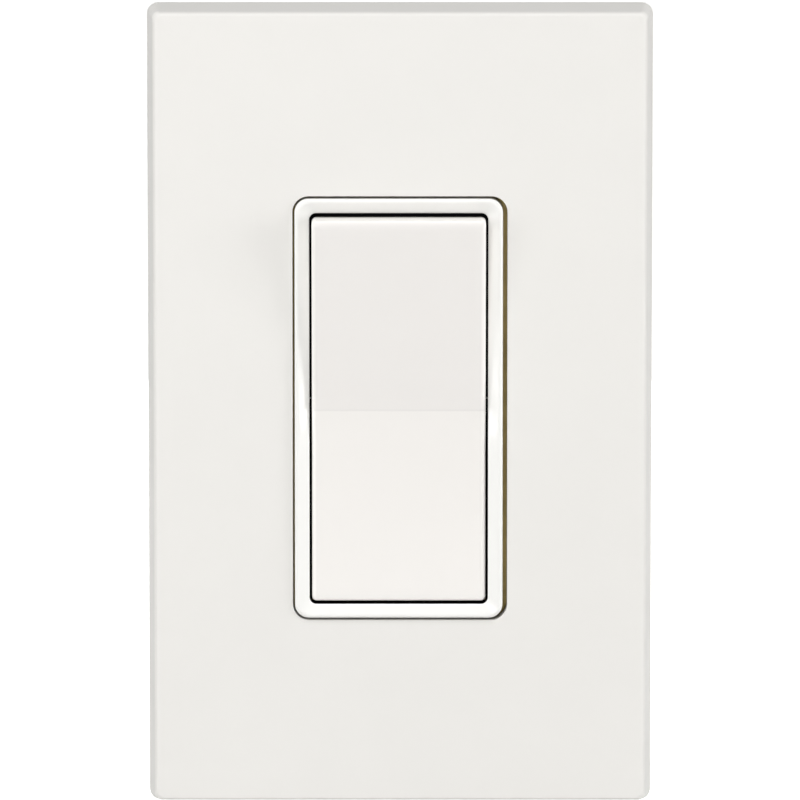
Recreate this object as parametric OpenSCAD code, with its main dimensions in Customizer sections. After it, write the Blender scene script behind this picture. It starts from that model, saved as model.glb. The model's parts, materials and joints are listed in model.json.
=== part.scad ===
// Decorator rocker light switch, single pole, with its screwless wall plate.
// The front faces -Y, +Z is up, and the origin is the centre of the device in the plane of the wall.
// The rest pose is off: the lower half of the paddle is pressed in.

/* [Cover plate] */
// Width of the cover plate at the wall
plate_w = 79.5; // [78:0.5:90]
// Height of the cover plate at the wall
plate_h = 127; // [126:0.5:136]
// Depth of the cover plate from the wall to its face
plate_d = 7; // [6.8:0.1:8]
// How far each side wall leans in on its way to the face
plate_lean = 1.15; // [0.4:0.05:1.6]
// Corner radius of the cover plate
plate_r = 1.8; // [1:0.1:3]
// Wall thickness of the cover plate
plate_t = 1.8; // [1.4:0.1:2]
// Bevel along the front edge of the cover plate
plate_bevel = 0.4; // [0.2:0.05:0.8]
// Width of the opening for the device
opening_w = 33.7; // [33.3:0.1:34.4]
// Height of the opening for the device
opening_h = 67.1; // [66.9:0.1:67.8]
// Corner radius of the opening
opening_r = 2.5; // [1:0.1:3]
// Thickness of the collar behind the opening
collar_t = 1.2; // [0.8:0.1:1.4]
// Sideways play of the cover plate on its subplate, taken up to the right
cover_side = 0.2; // [0:0.05:0.2]
// Length of each snap tab of the cover plate
tab_l = 9; // [6:0.5:12]
// Thickness of each snap tab
tab_t = 1.2; // [0.9:0.1:1.4]
// Clearance of the snap tabs in their notches
tab_gap = 0.3; // [0.25:0.05:0.4]
// Height of the side snap tabs above and below the middle
tab_z = 30; // [15:1:40]
// Distance of the end snap tabs from the middle
tab_x = 20; // [12:1:26]
// Radius of the stops that the cover plate seats on
stop_r = 2; // [1.5:0.1:3]
// Distance of the stops from the middle, sideways
stop_x = 27; // [24:1:31]
// Distance of the stops from the middle, upwards
stop_z = 50; // [40:1:54]

/* [Subplate] */
// Thickness of the subplate
sub_t = 2; // [1.6:0.1:2.2]
// Gap between the subplate and the inside of the cover plate, at the subplate's front
sub_gap = 0.25; // [0.15:0.05:0.5]
// Width of the rim round the back of the subplate
sub_rim = 2; // [1.5:0.1:3]
// Corner radius of the subplate
sub_r = 1.2; // [0.8:0.1:2.5]
// Gap between the bezel frame and the opening of the subplate
sub_open_gap = 1.3; // [0.8:0.1:2]
// Radius of the clearance holes for the heads of the box screws
relief_r = 5; // [4.2:0.1:5.4]

/* [Mounting strap] */
// Length of the mounting strap over its ears
strap_l = 106; // [104:0.5:108]
// Thickness of the mounting strap
strap_t = 1.2; // [1:0.1:1.4]
// Width of the middle of the strap
strap_w = 36; // [35:0.5:38]
// Height of the wide middle of the strap
strap_mid_h = 72; // [70:0.5:74]
// Width of the necks of the strap
neck_w = 20; // [17:0.5:22]
// Width over the plaster ears
ear_w = 41; // [38:0.5:44]
// Height of the plaster ears
ear_h = 8.5; // [7:0.5:9]
// Radius of the holes in the plaster ears
ear_hole_r = 1.9; // [1.5:0.1:2.4]
// Distance of those holes from the ends of the ears
ear_hole_in = 4.6; // [4:0.1:5]
// Width of the cut-out for the mechanism
cut_w = 28.6; // [28.4:0.1:30]
// Height of the cut-out for the mechanism
cut_h = 42; // [38:0.5:44]
// Length of the tab for the ground screw
tab_out = 11; // [10:0.5:13]
// Width of the tab for the ground screw
tab_h = 9; // [9:0.5:10]

/* [Screws] */
// Spacing of the box screws
box_spacing = 83.34; // [83:0.01:83.7]
// Spacing of the plate screws
plate_spacing = 96.8; // [96.5:0.1:97.1]
// Radius of the box screw shanks
box_screw_r = 1.75; // [1.6:0.05:1.8]
// Radius of the plain neck under each box screw head
box_neck_r = 1.5; // [1.4:0.05:1.55]
// Length of the box screws under their heads
box_screw_l = 31; // [25:1:35]
// Radius of the plate screw shanks
plate_screw_r = 1.7; // [1.5:0.05:1.75]
// Length of the plate screws under their heads
plate_screw_l = 8; // [6:0.5:12]
// Radius of the box screw heads
box_head_r = 3.5; // [3.2:0.1:3.8]
// Thickness of the box screw heads
box_head_t = 2.1; // [1.6:0.1:2.4]
// Radius of the plate screw heads
plate_head_r = 3.1; // [2.8:0.1:3.4]
// Height of the countersunk plate screw heads
plate_head_t = 1.5; // [1.2:0.1:1.55]
// Clearance of every screw in its hole
screw_gap = 0.05; // [0.03:0.01:0.08]
// Width of the screwdriver slots
slot_w = 1; // [0.8:0.05:1.2]
// Extra length of the slots for the box screws
slot_extra = 3.2; // [2:0.1:4]
// Width of the fibre screw retainers
retainer_w = 9; // [8:0.5:11]
// Thickness of the fibre screw retainers
retainer_t = 0.8; // [0.5:0.1:1.2]

/* [Bezel frame] */
// Width of the bezel frame
frame_w = 32.7; // [32.4:0.1:33]
// Height of the bezel frame
frame_h = 66.4; // [66:0.1:66.6]
// Corner radius of the bezel frame
frame_r = 2.2; // [1.5:0.1:2.6]
// How far the rim of the frame stands out from the wall
frame_front = 7.5; // [7.2:0.1:8.2]
// Width of the flat outer band of the rim
rim_band = 0.75; // [0.5:0.05:1]
// Drop of the sloping inner part of the rim
rim_drop = 0.5; // [0.2:0.05:0.7]
// Bevel along the outer edge of the rim
rim_bevel = 0.3; // [0.1:0.05:0.4]
// Depth of the dip in each side rail beside the crease
dip_d = 0.3; // [0.1:0.05:0.4]
// Half length of that dip
dip_l = 3.6; // [2:0.1:5]
// Thickness of the ledges at both ends of the frame
ledge_t = 1.5; // [1.2:0.1:1.6]
// Distance of the ledges from the middle
ledge_z = 20; // [19:0.5:21]

/* [Paddle] */
// Width of the paddle
paddle_w = 27.5; // [27:0.1:27.8]
// Side gap of the paddle's window, each side
window_gap = 0.25; // [0.15:0.05:0.4]
// Radius of the paddle's ends about its pivot
paddle_r = 30.56; // [30:0.02:31]
// Height of the paddle over its ends
paddle_h = 60.6; // [60:0.1:61]
// Corner radius of the paddle's ends
paddle_corner = 0.7; // [0.5:0.05:1]
// Running gap between the paddle's ends and the window
end_gap = 0.29; // [0.2:0.01:0.5]
// Corner radius of the window
window_r = 1.05; // [0.5:0.05:1.5]
// How far the crease lies in from the rim of the frame
crease_in = 0.5; // [0.2:0.1:0.8]
// Full swing of the paddle in degrees
swing = 6.4; // [5:0.1:7]
// Distance of the pivot axis from the wall
pivot_out = 3; // [2.8:0.1:3.2]
// Depth of the paddle's skirt
skirt_d = 3.4; // [3:0.1:3.5]
// Thickness of the paddle's skin
skin_t = 1.5; // [1.2:0.1:2]
// Thickness of the paddle's side skirts
skirt_t = 1.4; // [1:0.1:2]
// Thickness of the paddle's end walls
end_t = 1.8; // [1.4:0.1:2.4]
// Rounding of the paddle's long edges
paddle_edge = 1.1; // [0.5:0.1:1.3]
// Radius of the hub across the paddle
hub_r = 1.9; // [1.7:0.1:2.1]
// Radius of the pivot pins
pin_r = 1.1; // [0.9:0.05:1.2]
// Running clearance of the pivot pins in their bores
pin_gap = 0.05; // [0.02:0.01:0.08]
// Length of each pivot pin
pin_l = 1.5; // [1.2:0.1:1.6]

/* [Plunger] */
// Outer radius of the post behind the paddle
post_r = 3.4; // [3.2:0.1:4]
// Length of the post behind the pivot
post_l = 12.5; // [11:0.5:13]
// Radius of the plunger
plunger_r = 2.2; // [1.9:0.1:2.3]
// Running clearance of the plunger in the post
plunger_gap = 0.1; // [0.05:0.01:0.15]
// Radius of the plunger's round nose
nose_r = 1.8; // [1.5:0.1:1.9]
// Length of the plunger's guided body
plunger_l = 5; // [4:0.5:6]
// Gap between the nose and the contact rocker at the middle of the swing
nose_gap = 0.03; // [0.02:0.01:0.1]
// Mean radius of the spring
coil_r = 1.65; // [1.4:0.05:1.7]
// Thickness of the spring wire
wire_d = 0.45; // [0.3:0.05:0.5]
// Number of turns of the spring
turns = 7; // [5:1:9]

/* [Contacts and terminals] */
// Distance of the fulcrum axis behind the wall plane
fulcrum_y = 16.6; // [16:0.1:17.5]
// Radius of the fulcrum
fulcrum_r = 1; // [0.8:0.05:1.2]
// Running clearance of the contact rocker on its fulcrum
fulcrum_gap = 0.05; // [0.03:0.01:0.1]
// Full swing of the contact rocker in degrees
rock = 11.52; // [9:0.02:12.6]
// Width of the contact rocker
rocker_w = 4.5; // [4:0.1:5]
// Thickness of the contact rocker
rocker_t = 1; // [0.8:0.05:1.2]
// Distance from the fulcrum axis to the front of the contact rocker
rocker_out = 1.7; // [1.6:0.05:1.9]
// Distance of the contacts from the fulcrum
contact_z = 12; // [11:0.2:13]
// Radius of the contacts
contact_r = 1.9; // [1.5:0.1:2]
// Thickness of the contacts
contact_t = 0.8; // [0.6:0.05:1]
// Gap that the closed contacts keep
contact_gap = 0.15; // [0.1:0.01:0.3]
// Brass left beyond each contact
contact_rim = 0.3; // [0.2:0.05:0.5]
// Thickness of the terminals' brass strip
strip_t = 1; // [0.8:0.05:1.2]
// Distance of the terminal screws from the middle, up and down
terminal_z = 13; // [12:0.2:14]
// Distance of the terminal screws behind the wall plane
terminal_y = 12; // [10:0.5:13]
// Side length of the terminals' side plates
terminal_w = 12; // [11:0.5:13]
// Radius of the terminal screw shanks
term_screw_r = 1.7; // [1.5:0.05:1.8]
// Radius of the terminal screw heads
term_head_r = 3.6; // [3.2:0.1:4]
// Thickness of the terminal screw heads
term_head_t = 2; // [1.6:0.1:2.4]
// Space for a wire under each terminal screw head
wire_space = 1.7; // [1.6:0.1:2.2]
// Thickness of the clamp plates under the terminal screw heads
clamp_t = 0.9; // [0.7:0.05:1.1]
// Side length of the clamp plates
clamp_w = 8; // [7.5:0.1:8.6]
// Length of the terminal screws under their heads
term_screw_l = 8; // [6:0.5:9]
// Half height of the terminals' arms
arm_h = 2.6; // [2.4:0.1:3]
// Thickness of the web that carries the fulcrum
web_t = 1; // [0.8:0.1:1.2]
// Thickness of the push-in springs
leaf_t = 0.4; // [0.3:0.05:0.5]
// Width of the push-in springs
leaf_w = 3.6; // [3:0.1:4.2]
// Length of the push-in springs' legs
leaf_l = 5; // [4:0.2:6]
// Length of the push-in springs' feet
leaf_foot = 1.3; // [0.9:0.1:1.4]
// Gap between the push-in springs and the wire holes
leaf_in = 0.3; // [0.2:0.05:0.5]

/* [Housing] */
// Width of the housing
housing_w = 30.4; // [30:0.2:33]
// Height of the housing
housing_h = 67; // [66:0.5:70]
// Depth of the housing
housing_d = 26; // [25.5:0.5:28]
// Wall thickness of the housing
housing_t = 1.9; // [1.7:0.1:2]
// Corner radius of the housing
housing_r = 1.5; // [0.8:0.1:2]
// Size of the side windows for the terminal screws
side_window = 9.6; // [9.4:0.1:10.2]
// Radius of the rivets
rivet_r = 1.2; // [1:0.05:1.4]
// Radius of the rivet heads
rivet_head_r = 2.3; // [2:0.1:2.6]
// Thickness of the rivet heads
rivet_head_t = 0.5; // [0.4:0.05:0.6]
// Distance of the rivets from the middle
rivet_z = 25.5; // [25:0.1:26]
// Radius of the rivet bosses
boss_r = 2.9; // [2.7:0.1:3.2]
// Radius of the holes for the wires in the back
wire_hole_r = 1.15; // [1.05:0.05:1.3]
// Distance of the wire holes from the middle, up and down
wire_hole_z = 22; // [21.6:0.1:22.4]
// Distance of the wire holes from the middle, sideways
wire_hole_x = 10.9; // [10.6:0.1:11]
// Material above and below each wire hole
block_side = 1.2; // [1:0.05:1.25]

/* [Hidden] */
$fn = 48;

// How far a cutter reaches past what it cuts, and how far joined shapes run into each other
over = 1;
join = 0.1;

// Planes that the pieces share, measured along Y
cavity_y = -(plate_d - plate_t);
sub_front = -(strap_t + sub_t);
crease_y = -(frame_front - crease_in);
ledge_y = -(strap_t + ledge_t);
strip_y = fulcrum_y + fulcrum_r;
neck_end = retainer_t + 0.2;

// Inside of the cover plate
cavity_w = plate_w - 2 * plate_t;
cavity_h = plate_h - 2 * plate_t;
cavity_lean = plate_lean * (plate_d - plate_t) / plate_d;
lean_at_sub = cavity_lean * -sub_front / (plate_d - plate_t);
sub_w = cavity_w - 2 * (lean_at_sub + sub_gap);
sub_h = cavity_h - 2 * (lean_at_sub + sub_gap);
tab_in = cavity_lean + tab_t;
collar_w = opening_w + 2 * collar_t;
collar_h = opening_h + 2 * collar_t;

// Middle of the tab for the ground screw
ground_y = tab_out / 2 + 0.8;
ground_z = -(box_spacing + tab_h) / 2 - 2;

// Window that the paddle moves in
window_w = paddle_w + 2 * window_gap;
window_h = 2 * (paddle_r + end_gap);
half_swing = swing / 2;

// Plunger: its nose just clears the contact rocker at the middle of the swing
nose_y = fulcrum_y - rocker_out - nose_gap - nose_r;
bore_start = -(pivot_out + hub_r - 0.9);
guide_end = post_l - pivot_out - 0.3;
spring_l = guide_end - plunger_l - bore_start;
steps_per_turn = 14;
ring_n = 6;
spring_steps = turns * steps_per_turn;

// Contact rocker
half_rock = rock / 2;
rocker_back = fulcrum_y - rocker_out + rocker_t;
rocker_l = 2 * (contact_z + contact_r + contact_rim);
closed_y = (rocker_back + contact_t - fulcrum_y) * cos(half_rock) + contact_z * sin(half_rock) + fulcrum_y;
tip_drop = contact_r * sin(half_rock);
fixed_y = closed_y + tip_drop + contact_gap;
load_y = fixed_y + contact_t;

// Housing
inner_w = housing_w - 2 * housing_t;
inner_h = housing_h - 2 * housing_t;
inner_d = housing_d - housing_t;
wall_x = inner_w / 2;
plate_x = wall_x - strip_t;
term_head_x = wall_x + wire_space + clamp_t;
block_y = load_y + strip_t;
block_z = wire_hole_z - wire_hole_r - block_side;
tail_z = wire_hole_z + wire_hole_r + block_side;

// Upright rectangle with rounded corners, in the plane of the front view
module round_rect(w, h, r) {
  square([w - 2 * r, h], center = true);
  square([w, h - 2 * r], center = true);
  for (sx = [-1, 1], sz = [-1, 1])
    translate([sx * (w / 2 - r), sz * (h / 2 - r)])
      circle(r = r);
}

// Slab with rounded corners that spans y0 to y1
module slab(w, h, y0, y1, r) {
  translate([0, y1, 0])
    rotate([90, 0, 0])
      linear_extrude(height = y1 - y0)
        round_rect(w, h, r);
}

// Plain block from the low corner to the high corner
module block(lo, hi) {
  translate(lo)
    cube(hi - lo);
}

// Round bar along Y from y0 to y1
module rod_y(r, y0, y1) {
  translate([0, y1, 0])
    rotate([90, 0, 0])
      cylinder(r = r, h = y1 - y0);
}

// Round bar along X from x0 to x1
module rod_x(r, x0, x1) {
  translate([x0, 0, 0])
    rotate([0, 90, 0])
      cylinder(r = r, h = x1 - x0);
}

// Half outline of a leaning wall: straight behind the wall plane, then leaning in, then the bevel
function lean_outline(w, d, lean, bevel, behind) = [
  [-w / 2, behind],
  [-w / 2, 0],
  [-w / 2 + lean, -(d - bevel)],
  [-w / 2 + lean + bevel, -d],
  [w / 2 - lean - bevel, -d],
  [w / 2 - lean, -(d - bevel)],
  [w / 2, 0],
  [w / 2, behind]
];

// Block whose four sides lean in towards its front
module leaning_block(w, h, d, lean, bevel, r, behind) {
  intersection() {
    linear_extrude(height = h + 2, center = true)
      polygon(lean_outline(w, d, lean, bevel, behind));
    rotate([0, 90, 0])
      linear_extrude(height = w + 2, center = true)
        polygon(lean_outline(h, d, lean, bevel, behind));
    slab(w, h, -d - over, behind, r);
  }
}

// Block centred on a point
module block_at(centre, size) {
  translate(centre)
    cube(size, center = true);
}

// The snap tabs of the cover plate, or their notches in the subplate when grown
module snap_tabs(grow) {
  y0 = cavity_y - join - grow;
  y1 = -0.5 + 2 * grow;
  mid_y = (y0 + y1) / 2;
  thick = tab_in + 0.3 + grow;
  long = tab_l + 2 * grow;
  side_mid = cavity_w / 2 + 0.3 - thick / 2;
  end_mid = cavity_h / 2 + 0.3 - thick / 2;
  for (sx = [-1, 1], sz = [-1, 1]) {
    block_at([sx * side_mid, mid_y, sz * tab_z], [thick, y1 - y0, long]);
    block_at([sx * tab_x, mid_y, sz * end_mid], [long, y1 - y0, thick]);
  }
}

// Two copies, one above and one below the middle
module pair_z(z) {
  for (sz = [-1, 1])
    translate([0, 0, sz * z])
      children();
}

module cover_plate() {
  color("#eeece8")
    translate([cover_side, 0, 0])
      difference() {
        union() {
          difference() {
            leaning_block(plate_w, plate_h, plate_d, plate_lean, plate_bevel, plate_r, 0);
            leaning_block(cavity_w, cavity_h, plate_d - plate_t, cavity_lean, 0, plate_r / 2, over);
          }
          slab(collar_w, collar_h, cavity_y - join, sub_front - 0.4, opening_r + collar_t);
          for (sx = [-1, 1], sz = [-1, 1])
            translate([sx * stop_x, 0, sz * stop_z])
              rod_y(stop_r, cavity_y - join, sub_front);
          snap_tabs(0);
        }
        slab(opening_w, opening_h, -plate_d - over, over, opening_r);
      }
}

module subplate() {
  open_w = frame_w + 2 * sub_open_gap;
  open_h = frame_h + 2 * sub_open_gap;
  color("#f4f2ec")
    difference() {
      slab(sub_w, sub_h, sub_front, 0, sub_r);
      slab(sub_w - 2 * sub_rim, sub_h - 2 * sub_rim, -strap_t, over, sub_r / 2);
      slab(open_w, open_h, sub_front - over, over, frame_r);
      snap_tabs(tab_gap);
      pair_z(box_spacing / 2)
        rod_y(relief_r, sub_front - over, over);
      pair_z(plate_spacing / 2) {
        rod_y(plate_screw_r + screw_gap, sub_front - over, over);
        translate([0, sub_front + plate_head_t + screw_gap, 0])
          rotate([90, 0, 0])
            cylinder(r1 = plate_screw_r + screw_gap, r2 = plate_head_r + screw_gap, h = plate_head_t + screw_gap);
      }
    }
}

// Straight slot for a screwdriver in a head that faces -Y
module driver_slot_y(r, face, depth) {
  block_at([0, face + (depth - over) / 2, 0], [2 * r + over, depth + over, slot_w]);
}

module subplate_screws() {
  head_back = sub_front + plate_head_t;
  color("#f0eee8")
    pair_z(plate_spacing / 2)
      difference() {
        union() {
          translate([0, head_back, 0])
            rotate([90, 0, 0])
              cylinder(r1 = plate_screw_r, r2 = plate_head_r, h = plate_head_t);
          rod_y(plate_screw_r, head_back - join, head_back + plate_screw_l);
        }
        driver_slot_y(plate_head_r, sub_front, 0.8);
      }
}

module box_slot() {
  block_at([0, -strap_t / 2, 0], [2 * slot_extra, strap_t + 2 * over, 2 * (box_screw_r + 0.25)]);
  for (sx = [-1, 1])
    translate([sx * slot_extra, 0, 0])
      rod_y(box_screw_r + 0.25, -strap_t - over, over);
}

module mounting_strap() {
  ear_z = (strap_l - ear_h) / 2;
  color("#b7a462")
    difference() {
      union() {
        slab(strap_w, strap_mid_h, -strap_t, 0, 2);
        slab(neck_w, strap_l - 1, -strap_t, 0, 2);
        pair_z(ear_z)
          slab(ear_w, ear_h, -strap_t, 0, 2.5);
        block([-neck_w / 2, -strap_t, ground_z - tab_h / 2], [strap_t - neck_w / 2, tab_out, ground_z + tab_h / 2]);
      }
      slab(cut_w, cut_h, -strap_t - over, over, 0.6);
      pair_z(box_spacing / 2)
        box_slot();
      pair_z(plate_spacing / 2)
        rod_y(plate_screw_r + screw_gap, -strap_t - over, over);
      pair_z(rivet_z)
        rod_y(rivet_r + screw_gap, -strap_t - over, over);
      for (sx = [-1, 1])
        pair_z(ear_z)
          translate([sx * (ear_w / 2 - ear_hole_in), 0, 0])
            rod_y(ear_hole_r, -strap_t - over, over);
      translate([0, ground_y, ground_z])
        rod_x(term_screw_r + screw_gap, -neck_w / 2 - over, strap_t - neck_w / 2 + over);
    }
}

module box_screws() {
  head_front = -strap_t - box_head_t;
  color("#c9c9c4")
    pair_z(box_spacing / 2)
      difference() {
        union() {
          rod_y(box_head_r, head_front, -strap_t);
          rod_y(box_neck_r, -strap_t - join, neck_end + join);
          rod_y(box_screw_r, neck_end, box_screw_l - strap_t);
        }
        driver_slot_y(box_head_r, head_front, 1);
      }
}

module screw_retainers() {
  color("#7c5a3c")
    pair_z(box_spacing / 2)
      difference() {
        slab(retainer_w, retainer_w, 0, retainer_t, 1);
        rod_y(box_neck_r + screw_gap, -over, retainer_t + over);
      }
}

// Cut for the sloping inner part of the rim, a shallow funnel with straight sides
module rim_funnel() {
  slope = ((frame_w - window_w) / 2 - rim_band) / rim_drop;
  deep = frame_front - rim_drop - 0.1;
  high = frame_front + over;
  in_w = window_w / 2 - 0.1 * slope;
  in_h = window_h / 2 - 0.1 * slope;
  out_w = in_w + (high - deep) * slope;
  out_h = in_h + (high - deep) * slope;
  intersection() {
    linear_extrude(height = 2 * out_h, center = true)
      polygon([[-out_w, -high], [-in_w, -deep], [in_w, -deep], [out_w, -high]]);
    rotate([0, 90, 0])
      linear_extrude(height = 2 * out_w, center = true)
        polygon([[-out_h, -high], [-in_h, -deep], [in_h, -deep], [out_h, -high]]);
  }
}

// Shallow V in the side rails beside the crease of the paddle
module rail_dip() {
  reach = dip_l * (1 + over / dip_d);
  rotate([0, 90, 0])
    linear_extrude(height = frame_w + 2, center = true)
      polygon([[-reach, -frame_front - over], [0, -frame_front + dip_d], [reach, -frame_front - over]]);
}

module bezel_frame() {
  pin_end = paddle_w / 2 + pin_l + 0.2;
  color("#f6f5f1")
    difference() {
      intersection() {
        slab(frame_w, frame_h, -frame_front, -strap_t, frame_r);
        leaning_block(frame_w, frame_h, frame_front, 0, rim_bevel, frame_r, 0);
      }
      slab(window_w, window_h, -frame_front - over, ledge_y, window_r);
      slab(window_w, 2 * ledge_z, ledge_y - over, over, 0.6);
      rim_funnel();
      rail_dip();
      translate([0, -pivot_out, 0])
        rod_x(pin_r + pin_gap, -pin_end, pin_end);
      pair_z(rivet_z)
        rod_y(rivet_r + screw_gap, ledge_y - over, over);
    }
}

// Section of one half of the paddle: front edges rounded, front at y = 0
module half_section(w, d, r) {
  translate([-w / 2, r])
    square([w, d - r]);
  translate([r - w / 2, 0])
    square([w - 2 * r, d]);
  for (sx = [-1, 1])
    translate([sx * (w / 2 - r), r])
      circle(r = r);
}

// Both halves of the paddle tilt outwards from the crease at the middle
module paddle_shell() {
  reach = paddle_r + 2;
  for (up = [0, 1])
    mirror([0, 0, up])
      intersection() {
        translate([0, crease_y, 0])
          rotate([half_swing, 0, 0])
            translate([0, 0, -2])
              difference() {
                linear_extrude(height = reach)
                  half_section(paddle_w, skirt_d, paddle_edge);
                block(
                  [skirt_t - paddle_w / 2, skin_t, 5],
                  [paddle_w / 2 - skirt_t, skirt_d + over, paddle_r - end_t + 2]
                );
              }
        block([-paddle_w, -reach, 0], [paddle_w, reach, reach]);
        translate([0, -pivot_out, 0])
          rod_x(paddle_r, -paddle_w, paddle_w);
      }
}

// Turned from the middle of the swing to the rest pose
module at_rest() {
  translate([0, -pivot_out, 0])
    rotate([half_swing, 0, 0])
      translate([0, pivot_out, 0])
        children();
}

module paddle() {
  rib_x = (paddle_w - skirt_t) / 2;
  rib_z = hub_r - 0.4;
  color("#ebe8e4")
    at_rest()
      difference() {
        union() {
          intersection() {
            paddle_shell();
            slab(paddle_w, paddle_h, -pivot_out - paddle_r, 0, paddle_corner);
          }
          translate([0, -pivot_out, 0])
            rod_x(hub_r, -paddle_w / 2, paddle_w / 2);
          block([-rib_x, crease_y + skin_t - 0.3, -rib_z], [rib_x, -pivot_out, rib_z]);
          rod_y(post_r, crease_y + skin_t - 0.3, post_l - pivot_out);
          translate([0, -pivot_out, 0])
            rod_x(pin_r, -paddle_w / 2 - pin_l, paddle_w / 2 + pin_l);
        }
        rod_y(plunger_r + plunger_gap, bore_start, post_l);
      }
}

module plunger() {
  color("#3a3a3c")
    at_rest() {
      rod_y(plunger_r, guide_end - plunger_l, guide_end);
      rod_y(nose_r, guide_end - join, nose_y);
      translate([0, nose_y, 0])
        sphere(r = nose_r);
    }
}

// Points of the spring's wire, one ring of points at each step along the coil
function coil_point(i) = let (a = 360 * i / steps_per_turn)
  [
    coil_r * cos(a),
    bore_start + wire_d / 2 + (spring_l - wire_d) * i / spring_steps,
    coil_r * sin(a)
  ];
function ring_point(i, k) = let (a = 360 * i / steps_per_turn, b = 360 * k / ring_n)
  coil_point(i) + wire_d / 2 * [cos(b) * cos(a), sin(b), cos(b) * sin(a)];

module plunger_spring() {
  points = [for (i = [0:spring_steps], k = [0:ring_n - 1]) ring_point(i, k)];
  sides = [
    for (i = [0:spring_steps - 1], k = [0:ring_n - 1])
      [
        i * ring_n + k,
        i * ring_n + (k + 1) % ring_n,
        (i + 1) * ring_n + (k + 1) % ring_n,
        (i + 1) * ring_n + k
      ]
  ];
  first = [for (k = [ring_n - 1:-1:0]) k];
  last = [for (k = [0:ring_n - 1]) spring_steps * ring_n + k];
  color("#b9bcc0")
    at_rest()
      polyhedron(points = points, faces = concat(sides, [first, last]), convexity = 10);
}

// Turned from the middle of its swing to the rest pose
module rocker_at_rest() {
  translate([0, fulcrum_y, 0])
    rotate([-half_rock, 0, 0])
      translate([0, -fulcrum_y, 0])
        children();
}

module contact_rocker() {
  color("#c8a24a")
    rocker_at_rest()
      difference() {
        slab(rocker_w, rocker_l, fulcrum_y - rocker_out, rocker_back, 1);
        translate([0, fulcrum_y, 0])
          rod_x(fulcrum_r + fulcrum_gap, -rocker_w, rocker_w);
      }
}

module moving_contact() {
  color("#d9d9d6")
    rocker_at_rest()
      translate([0, 0, -contact_z])
        rod_y(contact_r, rocker_back, rocker_back + contact_t);
}

module fixed_contact() {
  color("#d9d9d6")
    translate([0, 0, -contact_z])
      rod_y(contact_r + 0.2, fixed_y, load_y);
}

// Side plate of a terminal inside the wall: tapped hole for its screw, and a tail beside the wire hole
module terminal_side(up, y_end) {
  y0 = terminal_y - terminal_w / 2;
  z0 = terminal_z - terminal_w / 2;
  difference() {
    block_at(
      [(plate_x + wall_x) / 2, (y0 + y_end) / 2, up * (z0 + tail_z) / 2],
      [strip_t, y_end - y0, tail_z - z0]
    );
    translate([0, terminal_y, up * terminal_z])
      rod_x(term_screw_r + screw_gap, plate_x - over, wall_x + over);
  }
}

module common_terminal() {
  arm_x = rocker_w / 2 + 0.8;
  arm_end = terminal_z - terminal_w / 2 + 4;
  color("#c79a3e") {
    terminal_side(1, strip_y + strip_t);
    block([-arm_x, strip_y, -arm_h], [wall_x, strip_y + strip_t, arm_h]);
    block([plate_x - arm_h, strip_y, 0], [wall_x, strip_y + strip_t, arm_end]);
    block([-arm_x, fulcrum_y, -web_t / 2], [arm_x, strip_y + join, web_t / 2]);
    translate([0, fulcrum_y, 0])
      rod_x(fulcrum_r, -arm_x, arm_x);
  }
}

module load_terminal() {
  arm_x = contact_r + 1.2;
  color("#c79a3e") {
    terminal_side(-1, load_y + strip_t);
    block(
      [-arm_x, load_y, -contact_z - arm_h],
      [wall_x, load_y + strip_t, -contact_z + arm_h]
    );
  }
}

// Screw along X with a slotted hexagonal head at its outer end, tip at x = 0 and head behind the shank
module side_screw(r, length, head_r, head_t) {
  difference() {
    union() {
      rod_x(r, 0, length + join);
      translate([length, 0, 0])
        rotate([0, 90, 0])
          cylinder(r = head_r, h = head_t, $fn = 6);
    }
    block_at([length + head_t, 0, 0], [head_t, slot_w, 2 * head_r + over]);
  }
}

module terminal_screws() {
  color("#c9a040")
    pair_z(terminal_z)
      translate([term_head_x - term_screw_l, terminal_y, 0])
        side_screw(term_screw_r, term_screw_l, term_head_r, term_head_t);
}

module clamp_plates() {
  color("#c4c6c8")
    pair_z(terminal_z)
      difference() {
        block_at([term_head_x - clamp_t / 2, terminal_y, 0], [clamp_t, clamp_w, clamp_w]);
        translate([0, terminal_y, 0])
          rod_x(term_screw_r + screw_gap, wall_x, term_head_x + over);
      }
}

module push_in_springs() {
  bend_x = wire_hole_x - wire_hole_r - leaf_in;
  foot_x = bend_x - leaf_foot;
  tip_x = plate_x - 0.2;
  tip_y = block_y - leaf_l;
  color("#b9bcc0")
    pair_z(wire_hole_z)
      linear_extrude(height = leaf_w, center = true)
        polygon([
          [foot_x, block_y],
          [bend_x, block_y],
          [tip_x, tip_y],
          [tip_x - leaf_t, tip_y],
          [bend_x - leaf_t, block_y - leaf_t],
          [foot_x, block_y - leaf_t]
        ]);
}

module ground_screw() {
  past_tab = 3;
  tip_x = strap_t - neck_w / 2 + past_tab;
  color("#2f8f4a")
    translate([tip_x, ground_y, ground_z])
      rotate([0, 180, 0])
        side_screw(term_screw_r, strap_t + past_tab + wire_space, term_head_r, term_head_t);
}

module housing_blocks() {
  arm_x = rocker_w / 2 + 0.8;
  load_x = contact_r + 1.2;
  behind = inner_d + join;
  block_x = wire_hole_x - wire_hole_r - leaf_in - leaf_foot;
  block([-arm_x, strip_y + strip_t, -arm_h], [wall_x + join, behind, arm_h]);
  block(
    [-load_x, load_y + strip_t, -contact_z - arm_h],
    [wall_x + join, behind, -contact_z + arm_h]
  );
  pair_z((block_z + tail_z) / 2)
    block_at(
      [(block_x + wall_x + join) / 2, (block_y + behind) / 2, 0],
      [wall_x + join - block_x, behind - block_y, tail_z - block_z]
    );
  pair_z(rivet_z)
    rod_y(boss_r, 0, behind);
}

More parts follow.
